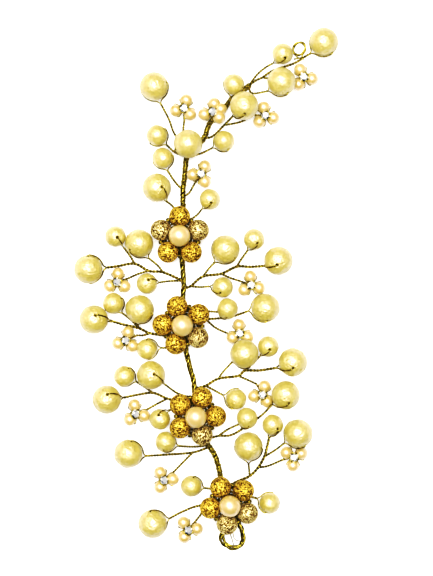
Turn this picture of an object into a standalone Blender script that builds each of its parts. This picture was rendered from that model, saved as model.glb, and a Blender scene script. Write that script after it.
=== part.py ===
"""Bridal hair vine, lying flat with its pearls up.

A twisted gold wire stem carries four flowers of gold beads round a pearl, and side twigs that end in
wired pearls and in clusters of seed pearls round a crystal.
+Y runs along the stem from the pin loop to the forked tip, and +Z points away from the hair.
The stem is cut into six lengths at the five places where it is bent round the head.
The places in the tables below are in millimetres; every object is made in metres.
"""

import math

import bmesh
import bpy
from mathutils import Matrix, Vector

MM = 0.001

# Driving dimensions, in millimetres.
LARGE_RADIUS = 5.0
MEDIUM_RADIUS = 3.7
BEAD_RADIUS = 3.75
SEED_RADIUS = 2.15
BORE_RADIUS = 0.62
STEM_RADIUS = 1.0
STEM_END_RADIUS = 0.45
TWIG_RADIUS = 0.45
LOOP_RADIUS = 0.28
LOOP_CLEARANCE = 0.75  # from a pearl's surface to the middle of the wire that hugs it
CLUSTER_REACH = 4.3  # from the middle of a cluster back to where its wires part
CLUSTER_RADIUS = 3.0
STONE_RADIUS = 1.5
STONE_LIFT = 1.4
FLOWER_RADIUS = 6.85
RING_WIRE_RADIUS = 0.4
PETALS = 5
PETAL_HEIGHT = 7.0
CENTRE_HEIGHT = 11.3
ORIGIN = Vector((0.19, 0.145, 0.0))  # middle of the layout below, which becomes x = y = 0

CENTRE_BORE_TURN = 18.0 - 90.0  # sets the bore halfway past one gap between beads and short of another

PEARL_STEPS = 8
PEARL_ARCS = 6

# Each flower: the middle of its ring of beads, and the turn of its first bead in degrees.
FLOWERS = {
    "flower_1": ((-9.0, 19.0), 90),
    "flower_2": ((-8.0, -12.1), 106),
    "flower_3": ((-3.3, -43.8), 72),
    "flower_4": ((8.5, -74.6), 46),
}

# Each length of the vine: its stem, then its pearls, its clusters, and the twigs that reach them.
# A pearl is its middle, the direction from it to its twig, how far that direction dips, and how far the
# bore turns from crosswise and tilts up, all four in degrees.
# A cluster is its middle, the direction to its twig, and the directions of its seed pearls.
# A twig is the piece at its end and the points that lead to it, the first inside the wire it springs from.
SPRAYS = {
    "tip": {
        "stem": [(12.9, 70.2), (15.5, 72.5)],
        "large": {
            "01": ((41.5, 87.0, 5.1), 220, 10, 0, 15),
            "02": ((26.5, 73.0, 6.6), 215, 25, 0, 20),
        },
        "medium": {"01": ((27.0, 83.0, 4.6), 225, 15, -30, 50)},
        "clusters": {"c03": ((34.5, 75.0, 2.4), 190, (115, 350, 235))},
        "twigs": [
            ("large_01", [(15.2, 72.2, 1.0), (17.5, 74.0, 1.0), (20.0, 75.2, 1.0), (23.5, 77.5, 1.0),
                          (29.5, 79.5, 1.0), (32.5, 80.8, 1.3), (34.5, 82.0, 2.5)]),
            ("medium_01", [(15.2, 72.2, 1.0), (18.0, 76.0, 1.2), (21.0, 78.5, 2.0)]),
            ("large_02", [(15.0, 72.0, 1.0), (16.6, 69.6, 1.2)]),
            ("c03", [(20.0, 75.2, 1.0), (24.0, 74.6, 0.5), (28.5, 74.4, 0.5)]),
        ],
    },
    "crown": {
        "stem": [(-6.9, 45.6), (-6.5, 47.0), (-3.5, 50.5), (-0.5, 54.0), (1.2, 58.5), (3.5, 61.5),
                 (6.5, 64.0), (8.7, 67.0), (11.5, 69.1)],
        "large": {
            "03": ((13.5, 64.5, 7.4), 220, 30, 0, 60),
            "04": ((-18.0, 71.5, 5.0), 290, 10, 0, 20),
            "05": ((-6.0, 51.0, 9.6), 265, 60, 40, 10),
        },
        "medium": {
            "02": ((9.9, 72.3, 4.6), 255, 20, 0, 20),
            "03": ((-17.0, 54.5, 3.8), 315, 10, 0, 20),
            "04": ((6.5, 52.5, 3.8), 210, 10, 0, 20),
        },
        "clusters": {
            "c01": ((-7.5, 64.0, 3.2), 270, (75, 195, 315)),
            "c02": ((2.5, 62.5, 5.0), 305, (80, 195, 320, 20)),
            "c04": ((21.0, 61.5, 2.4), 175, (100, 345, 225)),
        },
        "twigs": [
            ("large_03", [(-0.9, 53.6, 1.0), (2.5, 54.5, 1.0), (6.5, 58.3, 1.2)]),
            ("large_04", [(-4.8, 49.0, 1.0), (-10.5, 54.5, 1.5), (-13.0, 60.5, 2.5)]),
            ("large_05", [(-5.6, 48.0, 1.0)]),
            ("medium_02", [(7.6, 65.5, 1.0)]),
            ("medium_03", [(-6.3, 47.2, 1.0), (-10.5, 48.5, 2.0)]),
            ("medium_04", [(-6.0, 47.6, 1.0), (-2.0, 48.2, 1.5)]),
            ("c01", [(-3.7, 50.3, 1.0), (-7.6, 55.5, 1.6)]),
            ("c02", [(3.5, 61.5, 1.0)]),
            ("c04", [(6.5, 58.3, 1.2), (12.5, 59.6, 0.6)]),
        ],
    },
    "flower_1": {
        "stem": [(-8.0, -0.4), (-7.6, 1.5), (-8.0, 6.5), (-8.3, 11.0), (-9.0, 19.0), (-8.0, 26.5),
                 (-8.0, 35.0), (-7.5, 39.5), (-7.0, 44.6)],
        "large": {
            "06": ((-17.0, 36.0, 5.8), 305, 15, -45, 60),
            "07": ((-23.2, 16.6, 5.0), 300, 10, 0, -35),
            "08": ((-41.0, 7.5, 5.0), 5, 10, 0, 20),
            "09": ((7.0, 14.5, 5.0), 230, 10, 0, 20),
            "10": ((25.5, 10.5, 6.1), 200, 15, 0, 75),
        },
        "medium": {
            "05": ((-15.0, 46.5, 3.8), 290, 10, 0, 20),
            "06": ((1.5, 32.0, 4.8), 230, 15, -20, 65),
            "07": ((-31.5, 19.0, 4.9), 305, 15, -65, 70),
            "08": ((-20.5, 2.5, 4.7), 5, 15, -40, 60),
            "09": ((17.0, 18.0, 4.6), 240, 15, -25, 55),
            "10": ((6.0, 1.2, 4.6), 175, 15, 40, 50),
        },
        "clusters": {
            "c05": ((-1.5, 41.0, 3.0), 235, (65, 185, 295)),
            "c06": ((-31.0, 3.0, 2.4), 20, (85, 205, 330)),
            "c07": ((16.0, 2.0, 2.4), 160, (95, 215, 340)),
        },
        "twigs": [
            ("large_06", [(-8.3, 24.0, 1.0), (-11.0, 29.0, 1.5)]),
            ("large_08", [(-8.0, 3.5, 1.0), (-15.0, 6.5, 1.1), (-20.0, 7.0, 1.2), (-25.0, 9.5, 1.4),
                          (-31.0, 8.6, 2.5)]),
            ("large_07", [(-15.0, 6.5, 1.1), (-17.0, 9.0, 2.0)]),
            ("large_10", [(-7.7, 1.0, 1.0), (-5.3, 1.6, 1.0), (-1.0, 5.0, 1.1), (5.5, 6.0, 1.2),
                          (11.0, 8.5, 1.4), (15.5, 8.4, 2.5)]),
            ("large_09", [(-1.0, 5.0, 1.1), (1.0, 7.6, 2.0)]),
            ("medium_05", [(-7.9, 35.5, 1.0), (-10.5, 38.0, 1.6)]),
            ("medium_06", [(-8.2, 23.5, 1.0), (-3.5, 26.3, 1.3)]),
            ("medium_07", [(-25.0, 9.5, 1.4), (-27.0, 12.8, 2.0)]),
            ("medium_08", [(-8.0, 3.5, 1.0), (-12.5, 3.4, 1.4)]),
            ("medium_09", [(11.0, 8.5, 1.4), (12.5, 11.0, 2.0)]),
            ("medium_10", [(-5.3, 1.6, 1.0), (-2.0, 1.3, 1.5)]),
            ("c05", [(-8.0, 33.0, 1.0), (-5.8, 34.5, 1.4)]),
            ("c06", [(-20.0, 7.0, 1.2), (-23.5, 6.0, 1.7)]),
            ("c07", [(5.5, 6.0, 1.2), (8.5, 4.6, 1.6)]),
        ],
    },
    "flower_2": {
        "stem": [(-5.6, -26.9), (-6.5, -23.0), (-7.0, -20.0), (-8.0, -12.0), (-8.0, -6.5), (-8.0, -1.5)],
        "large": {
            "11": ((21.0, -6.0, 5.0), 190, 10, 0, 20),
            "12": ((-23.0, -6.5, 6.2), 260, 20, 0, 20),
            "13": ((-39.0, -10.0, 6.0), 355, 10, 0, 70),
        },
        "medium": {
            "11": ((7.7, -6.3, 6.4), 200, 40, 0, 45),
            "12": ((-32.3, -4.4, 4.6), 310, 20, 0, 20),
            "13": ((-20.5, -20.5, 3.8), 5, 10, 0, 20),
        },
        "clusters": {
            "c08": ((-28.0, -17.5, 2.4), 25, (75, 200, 320)),
            "c09": ((12.0, -15.0, 2.4), 180, (95, 210, 335)),
        },
        "twigs": [
            ("large_11", [(-7.9, -9.5, 1.0), (0.0, -10.0, 1.2), (8.5, -9.2, 1.8)]),
            ("large_13", [(-7.9, -14.5, 1.0), (-13.0, -15.7, 1.1), (-19.5, -15.0, 1.2),
                          (-23.5, -13.2, 1.4), (-28.5, -12.0, 2.5)]),
            ("large_12", [(-23.5, -13.2, 1.4)]),
            ("medium_11", [(-8.0, -6.8, 1.0), (-2.0, -7.0, 1.3)]),
            ("medium_12", [(-23.5, -13.2, 1.4), (-26.2, -10.4, 1.2)]),
            ("medium_13", [(-7.5, -16.8, 1.0), (-12.5, -19.8, 1.4)]),
            ("c08", [(-19.5, -15.0, 1.2), (-22.0, -15.7, 1.6)]),
            ("c09", [(0.0, -10.0, 1.2), (3.5, -13.0, 1.5)]),
        ],
    },
    "flower_3": {
        "stem": [(3.8, -59.5), (3.0, -57.5), (1.0, -54.5), (-1.0, -51.0), (-3.4, -44.5), (-3.6, -38.0),
                 (-4.0, -34.0), (-4.5, -30.5), (-5.3, -28.0)],
        "large": {
            "14": ((13.5, -22.0, 7.6), 215, 30, 0, 20),
            "15": ((30.5, -25.0, 5.6), 200, 10, -50, 55),
            "16": ((-19.0, -29.5, 5.8), 325, 10, -60, 60),
            "17": ((-34.5, -38.0, 5.9), 5, 10, 0, 65),
            "18": ((28.0, -36.5, 5.6), 215, 10, 10, 55),
            "21": ((-27.0, -57.0, 5.0), 350, 10, 0, 20),
        },
        "medium": {
            "14": ((22.0, -19.5, 4.8), 230, 10, -25, 70),
            "15": ((-28.5, -30.0, 3.8), 335, 10, 0, 20),
            "16": ((-16.0, -45.0, 4.8), 45, 20, 0, 65),
            "17": ((10.7, -38.0, 3.8), 165, 10, 0, 20),
            "18": ((14.5, -44.5, 6.2), 220, 35, 0, 50),
            "20": ((-14.0, -53.0, 4.2), 340, 10, 0, -35),
        },
        "clusters": {
            "c10": ((-24.5, -43.2, 2.4), 20, (100, 225, 345)),
            "c11": ((20.0, -36.5, 2.3), 120, (75, 190, 305)),
            "c12": ((-14.5, -66.5, 2.4), 40, (120, 5, 240)),
        },
        "twigs": [
            ("large_15", [(-4.0, -34.5, 1.0), (0.0, -33.5, 1.0), (4.5, -31.0, 1.1), (11.5, -30.0, 1.2),
                          (13.8, -28.2, 1.3), (19.0, -28.0, 2.5)]),
            ("large_14", [(4.5, -31.0, 1.1), (6.2, -28.5, 1.7)]),
            ("large_16", [(-3.6, -37.8, 1.0), (-9.5, -36.3, 1.4)]),
            ("large_17", [(-3.6, -39.5, 1.0), (-9.0, -39.0, 1.0), (-13.5, -38.0, 1.2),
                          (-18.5, -36.0, 1.5), (-24.0, -36.6, 2.8)]),
            ("large_18", [(-0.1, -52.5, 1.0), (4.5, -51.2, 1.0), (8.5, -51.0, 1.1), (12.5, -49.0, 1.2),
                          (19.5, -44.0, 2.0)]),
            ("large_21", [(1.4, -55.1, 1.0), (-4.5, -57.0, 1.1), (-14.0, -57.7, 2.2)]),
            ("medium_14", [(13.8, -28.2, 1.3), (17.0, -25.2, 1.7)]),
            ("medium_15", [(-18.5, -36.0, 1.5), (-22.0, -33.5, 2.2)]),
            ("medium_16", [(-3.5, -41.2, 1.0), (-9.0, -41.3, 1.2)]),
            ("medium_17", [(0.0, -33.5, 1.0), (3.0, -35.0, 1.3)]),
            ("medium_18", [(4.5, -51.2, 1.0), (8.0, -48.7, 1.8)]),
            ("medium_20", [(1.0, -54.5, 1.0), (-4.0, -55.0, 1.2)]),
            ("c10", [(-13.5, -38.0, 1.2), (-17.0, -39.8, 1.6)]),
            ("c11", [(11.5, -30.0, 1.2), (14.8, -31.4, 1.5)]),
            ("c12", [(-4.5, -57.0, 1.1), (-8.0, -60.5, 1.5)]),
        ],
    },
    "flower_4": {
        "stem": [(9.5, -81.4), (8.5, -75.0), (6.0, -69.5), (5.0, -64.0), (4.3, -61.0)],
        "large": {
            "19": ((15.0, -54.5, 5.0), 270, 10, 0, 20),
            "20": ((32.5, -50.0, 5.0), 215, 10, 0, 20),
            "22": ((-18.5, -81.5, 5.3), 15, 10, 0, 20),
        },
        "medium": {
            "19": ((23.5, -47.0, 4.6), 255, 15, 0, 55),
            "21": ((-5.0, -68.5, 3.8), 350, 10, 0, 20),
            "22": ((22.5, -74.5, 3.8), 160, 10, 0, 20),
        },
        "clusters": {
            "c13": ((31.0, -58.5, 2.4), 195, (150, 25, 265)),
            "c14": ((-6.0, -84.0, 2.4), 50, (125, 5, 240)),
        },
        "twigs": [
            ("medium_19", [(6.2, -70.0, 1.0), (11.0, -67.3, 1.0), (15.5, -65.3, 1.1), (18.5, -62.3, 1.2),
                           (20.7, -58.5, 1.3), (21.6, -55.0, 2.2)]),
            ("large_19", [(15.5, -65.3, 1.1), (15.3, -63.0, 2.0)]),
            ("large_20", [(20.7, -58.5, 1.3), (24.5, -56.0, 2.4)]),
            ("large_22", [(8.4, -75.0, 1.0), (-2.0, -75.7, 1.1), (-8.0, -77.7, 2.0)]),
            ("medium_21", [(6.3, -70.2, 1.0), (3.0, -69.9, 1.3)]),
            ("medium_22", [(7.6, -73.0, 1.0), (14.0, -72.3, 1.3)]),
            ("c13", [(18.5, -62.3, 1.2), (22.0, -61.7, 1.5)]),
            ("c14", [(-2.0, -75.7, 1.1), (-1.4, -78.2, 1.4)]),
        ],
    },
}

PIN_LOOP_CENTRE = (9.5, -86.7)
PIN_LOOP_OUTER = 4.9
PIN_LOOP_INNER = 2.95
PIN_LOOP_THICKNESS = 1.9
TIP_RING_CENTRE = (33.0, 85.3, 1.0)
TIP_RING_RADIUS = 2.35
TIP_RING_WIRE = 0.5


def clear_scene():
    for obj in list(bpy.data.objects):
        bpy.data.objects.remove(obj)


def new_collection(name):
    collection = bpy.data.collections.new(name)
    bpy.context.scene.collection.children.link(collection)
    return collection


def material(name, colour, roughness, metallic):
    made = bpy.data.materials.new(name)
    made.use_nodes = True
    shader = made.node_tree.nodes["Principled BSDF"]
    shader.inputs["Base Color"].default_value = (*colour, 1.0)
    shader.inputs["Roughness"].default_value = roughness
    shader.inputs["Metallic"].default_value = metallic
    return made


def metres(point):
    return (Vector(point) - ORIGIN) * MM


def direction(turn, rise=0.0):
    """The unit vector that points turn degrees round from +X and rise degrees up."""
    a, b = math.radians(turn), math.radians(rise)
    return Vector((math.cos(b) * math.cos(a), math.cos(b) * math.sin(a), math.sin(b)))


def add_object(name, mesh, finish, collection):
    obj = bpy.data.objects.new(name, mesh)
    mesh.materials.clear()
    mesh.materials.append(finish)
    collection.objects.link(obj)
    return obj


def add_bmesh(name, shape, finish, collection):
    mesh = bpy.data.meshes.new(name)
    shape.to_mesh(mesh)
    shape.free()
    return add_object(name, mesh, finish, collection)


def tube(points, radius, closed=False, sides=4, ends=1.0):
    """A mesh tube along points in metres, with welded caps; ends scales the radius of both tips."""
    curve = bpy.data.curves.new("tube", "CURVE")
    curve.dimensions = "3D"
    curve.bevel_depth = radius * MM
    curve.bevel_resolution = (sides - 4) // 2
    curve.use_fill_caps = not closed
    spline = curve.splines.new("POLY")
    spline.points.add(len(points) - 1)
    for spot, place in zip(spline.points, points):
        spot.co = (*place, 1.0)
    spline.points[0].radius = spline.points[-1].radius = ends
    spline.use_cyclic_u = closed
    guide = bpy.data.objects.new("tube", curve)
    bpy.context.scene.collection.objects.link(guide)
    evaluated = guide.evaluated_get(bpy.context.evaluated_depsgraph_get())
    mesh = bpy.data.meshes.new_from_object(evaluated)
    bpy.data.objects.remove(guide)
    shape = bmesh.new()
    shape.from_mesh(mesh)
    bpy.data.meshes.remove(mesh)
    bmesh.ops.remove_doubles(shape, verts=shape.verts, dist=1e-6)
    bmesh.ops.recalc_face_normals(shape, faces=shape.faces)
    return shape


def ball(centre, radius, segments, rings):
    shape = bmesh.new()
    place = Matrix.Translation(metres(centre))
    bmesh.ops.create_uvsphere(shape, u_segments=segments, v_segments=rings, radius=radius * MM, matrix=place)
    return shape


def joined(name, shapes, finish, collection, helpers):
    """One solid from overlapping shapes: the first, with all the others added to it."""
    first = add_bmesh(name, shapes[0], finish, collection)
    group = bpy.data.collections.new(name + "_pieces")
    helpers.children.link(group)
    for shape in shapes[1:]:
        piece = add_bmesh(name + "_piece", shape, finish, group)
        piece.hide_render = True
        piece.display_type = "WIRE"
    union = first.modifiers.new("Join", "BOOLEAN")
    union.operation = "UNION"
    union.operand_type = "COLLECTION"
    union.collection = group
    return first


class Pearl:
    """A round pearl with a bore through it, and the wire that holds it to its twig."""

    def __init__(self, place, radius, turn, dip, bore_turn, bore_tilt):
        self.place = Vector(place)
        self.radius = radius
        self.to_twig = direction(turn, -dip)
        across = direction(turn + 90 + bore_turn, bore_tilt)
        self.bore = (across - self.to_twig * across.dot(self.to_twig)).normalized()
        self.base = self.place + self.to_twig * (radius + LOOP_CLEARANCE)

    def solid(self, name, finish, collection):
        """A profile from mouth to mouth of the bore, turned about the bore."""
        half_mouth = math.asin(BORE_RADIUS / self.radius)
        profile = bmesh.new()
        spots = []
        for step in range(PEARL_ARCS + 1):
            angle = half_mouth + (math.pi - 2 * half_mouth) * step / PEARL_ARCS
            x, z = math.sin(angle) * self.radius, math.cos(angle) * self.radius
            spots.append(profile.verts.new((x * MM, 0.0, z * MM)))
        for a, b in zip(spots, spots[1:] + spots[:1]):
            profile.edges.new((a, b))
        obj = add_bmesh(name, profile, finish, collection)
        obj.location = metres(self.place)
        obj.rotation_mode = "QUATERNION"
        obj.rotation_quaternion = self.bore.to_track_quat("Z", "Y")
        turned = obj.modifiers.new("Turn", "SCREW")
        turned.axis = "Z"
        turned.steps = turned.render_steps = PEARL_STEPS
        turned.use_merge_vertices = True
        turned.merge_threshold = 1e-5
        turned.use_smooth_shade = True
        return obj

    def wire(self):
        """Round one side of the pearl, through its bore, and back round the other side to the twig."""
        reach = self.radius + LOOP_CLEARANCE
        half = [self.to_twig * math.sin(math.radians(a)) + self.bore * math.cos(math.radians(a))
                for a in (60, 30, 0)]
        points = [self.to_twig] + half
        points += [self.to_twig * d.dot(self.to_twig) - self.bore * d.dot(self.bore) for d in half[::-1]]
        return tube([metres(self.place + d * reach) for d in points], LOOP_RADIUS, closed=True)


class Cluster:
    """Seed pearls round a crystal in its cup, each on its own short wire from one point."""

    def __init__(self, place, turn, seeds):
        self.place = Vector(place)
        self.base = self.place + direction(turn) * CLUSTER_REACH - Vector((0.0, 0.0, 0.4))
        self.seeds = [self.place + direction(a) * CLUSTER_RADIUS for a in seeds]
        self.stone = self.place + Vector((0.0, 0.0, STONE_LIFT))

    def shapes(self):
        made = [ball(seed, SEED_RADIUS, 6, 4) for seed in self.seeds]
        cup = bmesh.new()
        bmesh.ops.create_cone(cup, cap_ends=True, segments=8, radius1=STONE_RADIUS * 0.5 * MM,
                              radius2=STONE_RADIUS * MM, depth=STONE_RADIUS * 1.2 * MM,
                              matrix=Matrix.Translation(metres(self.stone)))
        made.append(cup)
        for end in self.seeds + [self.stone]:
            made.append(tube([metres(self.base), metres(end)], LOOP_RADIUS))
        return made


def flower(name, ring_centre, first, finish, collection, helpers):
    """Five gold beads strung on a ring of wire."""
    middle = Vector((*ring_centre, PETAL_HEIGHT))
    around = [middle + direction(first + 360 / PETALS * n) * FLOWER_RADIUS for n in range(PETALS)]
    wire_ring = [middle + direction(first + 180 / PETALS * n) * FLOWER_RADIUS for n in range(2 * PETALS)]
    shapes = [tube([metres(p) for p in wire_ring], RING_WIRE_RADIUS, closed=True)]
    shapes += [ball(place, BEAD_RADIUS, 8, 6) for place in around]
    joined(name, shapes, finish, collection, helpers)


def spray(name, plan, finishes, collection, helpers):
    """One length of the vine: its pearls, and the wire that carries them as one solid."""
    ends = {}
    for size, radius in (("large", LARGE_RADIUS), ("medium", MEDIUM_RADIUS)):
        for number, (place, *angles) in plan[size].items():
            pearl = ends[f"{size}_{number}"] = Pearl(place, radius, *angles)
            pearl.solid(f"{size}_pearl_{number}", finishes["pearl"], collection)
    for label, cluster in plan["clusters"].items():
        ends[label] = Cluster(*cluster)
    stem = [metres((x, y, STEM_RADIUS)) for x, y in plan["stem"]]
    shapes = [tube(stem, STEM_RADIUS, sides=6, ends=STEM_END_RADIUS / STEM_RADIUS)]
    for label, route in plan["twigs"]:
        points = [metres(place) for place in route] + [metres(ends[label].base)]
        shapes.append(tube(points, TWIG_RADIUS))
    if name in FLOWERS:
        middle, first = FLOWERS[name]
        pearl = ends["centre"] = Pearl((*middle, CENTRE_HEIGHT), BEAD_RADIUS, first, 90, CENTRE_BORE_TURN, 0)
        pearl.solid(name.replace("flower", "centre_pearl"), finishes["centre"], collection)
        flower(name.replace("flower", "petal_ring"), middle, first, finishes["gold"], collection, helpers)
        shapes.append(tube([metres((*middle, STEM_RADIUS)), metres(pearl.base)], TWIG_RADIUS))
    for end in ends.values():
        shapes += end.shapes() if isinstance(end, Cluster) else [end.wire()]
    joined(name + "_wire", shapes, finishes["wire"], collection, helpers)


def pin_loop(finish, collection):
    """The flat loop at the lower end, which a hairpin goes through."""
    curve = bpy.data.curves.new("pin_loop", "CURVE")
    curve.dimensions = "2D"
    curve.fill_mode = "BOTH"
    curve.extrude = PIN_LOOP_THICKNESS / 2 * MM
    for radius in (PIN_LOOP_OUTER, PIN_LOOP_INNER):
        spline = curve.splines.new("POLY")
        spline.points.add(15)
        spline.use_cyclic_u = True
        for n, spot in enumerate(spline.points):
            spot.co = (*(direction(n * 360 / 16) * radius * MM), 1.0)
    obj = bpy.data.objects.new("pin_loop", curve)
    curve.materials.append(finish)
    obj.location = metres((*PIN_LOOP_CENTRE, PIN_LOOP_THICKNESS / 2))
    collection.objects.link(obj)


def tip_ring(finish, collection):
    """The small ring of wire beside the forked tip, for a second hairpin."""
    points = [metres(Vector(TIP_RING_CENTRE) + direction(n * 30) * TIP_RING_RADIUS) for n in range(12)]
    add_bmesh("tip_ring", tube(points, TIP_RING_WIRE, closed=True, sides=6), finish, collection)


def main():
    clear_scene()
    vine = new_collection("hair_vine")
    helpers = new_collection("joining_pieces")
    finishes = {
        "pearl": material("wrinkled_pearl", (0.86, 0.72, 0.45), 0.35, 0.0),
        "centre": material("ivory_pearl", (0.90, 0.76, 0.60), 0.2, 0.0),
        "gold": material("stardust_gold", (0.75, 0.50, 0.12), 0.35, 1.0),
        "wire": material("gold_wire", (0.62, 0.45, 0.16), 0.3, 1.0),
    }
    for name, plan in SPRAYS.items():
        spray(name, plan, finishes, vine, helpers)
    pin_loop(finishes["wire"], vine)
    tip_ring(finishes["wire"], vine)


main()
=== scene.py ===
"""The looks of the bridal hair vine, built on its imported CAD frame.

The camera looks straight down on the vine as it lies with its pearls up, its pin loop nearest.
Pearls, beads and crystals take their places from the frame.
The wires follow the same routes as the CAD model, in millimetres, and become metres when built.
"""

import math
import random

import bmesh
import bpy
import numpy as np
from mathutils import Matrix, Quaternion, Vector, noise


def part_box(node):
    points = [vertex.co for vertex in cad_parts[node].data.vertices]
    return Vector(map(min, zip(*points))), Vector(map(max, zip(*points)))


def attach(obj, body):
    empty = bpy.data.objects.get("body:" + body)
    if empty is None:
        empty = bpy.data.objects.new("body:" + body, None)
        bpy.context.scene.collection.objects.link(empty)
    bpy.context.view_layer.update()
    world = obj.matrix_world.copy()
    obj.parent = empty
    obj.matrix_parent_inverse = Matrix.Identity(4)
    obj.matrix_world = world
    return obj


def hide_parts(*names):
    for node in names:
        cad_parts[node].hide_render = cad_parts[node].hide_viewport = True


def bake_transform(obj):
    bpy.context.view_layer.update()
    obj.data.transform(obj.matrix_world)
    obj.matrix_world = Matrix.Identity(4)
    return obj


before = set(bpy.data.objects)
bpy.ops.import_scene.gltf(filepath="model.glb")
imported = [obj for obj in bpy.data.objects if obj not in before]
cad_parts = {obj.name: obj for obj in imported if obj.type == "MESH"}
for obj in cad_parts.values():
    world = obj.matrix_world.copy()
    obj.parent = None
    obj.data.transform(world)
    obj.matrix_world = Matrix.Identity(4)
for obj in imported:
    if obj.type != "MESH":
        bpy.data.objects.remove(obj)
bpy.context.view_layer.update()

MM = 0.001
random.seed(7)

# Sizes in millimetres.
ORIGIN = np.array((0.19, 0.145, 0.0))  # the layout's middle, which is x = y = 0 in the frame
LOOP_CLEARANCE = 0.75  # from a pearl's surface to the point where its two strands part
STRAND = 0.21  # radius of the wire that twigs are twisted from
HUG = 0.27  # from a pearl's surface to the middle of the strand that hugs it
TWIG_PITCH = 1.9
STEM_HEIGHT = 1.0
# The stem's strands: radius, distance from the middle, and degrees round it.
STEM_STRANDS = [(0.43, 0.56, 0), (0.43, 0.56, 120), (0.40, 0.56, 240), (0.17, 0.80, 60), (0.17, 0.80, 180)]
# How far from the middle the finer wire that wraps the strands runs: inside them where it can't be seen.
WRAP_REACH = [(0.0, 0.95), (0.24, 0.95), (0.27, 0.5), (0.62, 0.5), (0.66, 0.95), (1.0, 0.9)]
# How long one turn of the twist is, at shares of the stem's length.
STEM_PITCH = [(0.0, 3.4), (0.2, 3.6), (0.27, 7.0), (0.42, 8.0), (0.55, 9.0), (0.66, 6.0), (0.75, 3.4),
              (1.0, 3.0)]
WRAP_RADIUS = 0.21
WRAP_PITCH = -2.3  # it winds the other way
BINDING_RADIUS = 0.17
BINDING_REACH = 0.98
BINDING_PITCH = 0.52
BEND_HALF = 3.6  # half the length of stem that bends at each joint
PEARL_BORE = 0.6
BORE_LIP = 0.12
# How many kinds of wrinkled pearl there are of each size, their rings and segments, how deep the wrinkles
# are, and the first seed of their noise. The sizes come from the pearl that is named.
PEARL_KINDS = {
    "large": (4, 56, 76, 0.36, 1, "large_pearl_08"),
    "medium": (3, 44, 58, 0.30, 11, "medium_pearl_05"),
}
SEED_RADIUS = 2.15
SEED_BORE = 0.35
CLUSTER_RADIUS = 3.0  # from a cluster's middle to its seed pearls' middles
CLUSTER_REACH = 4.3  # from a cluster's middle to the end of its twig
CRYSTAL_RADIUS = 1.5
CRYSTAL_LIFT = 1.5
BEAD_RADIUS = 3.75
BEAD_KINDS = 3
PETALS = 5
PETAL_REACH = 6.85  # from a flower's middle to its beads' middles
# The rings of twisted wire under a flower: how far out, how high, and their phase. The first holds the beads.
FLOWER_RINGS = ((PETAL_REACH, 0.0, 0.0), (5.2, -4.1, 0.0), (4.1, -3.6, 1.0), (3.0, -3.3, 2.0))
GRAINS = 370
GRAIN_RADIUS = 0.39
GRAIN_HEIGHT = 0.42
# In metres, just under the lowest wire.
FLOOR_HEIGHT = -0.0002
WHITE = (1.0, 1.0, 1.0)

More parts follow.
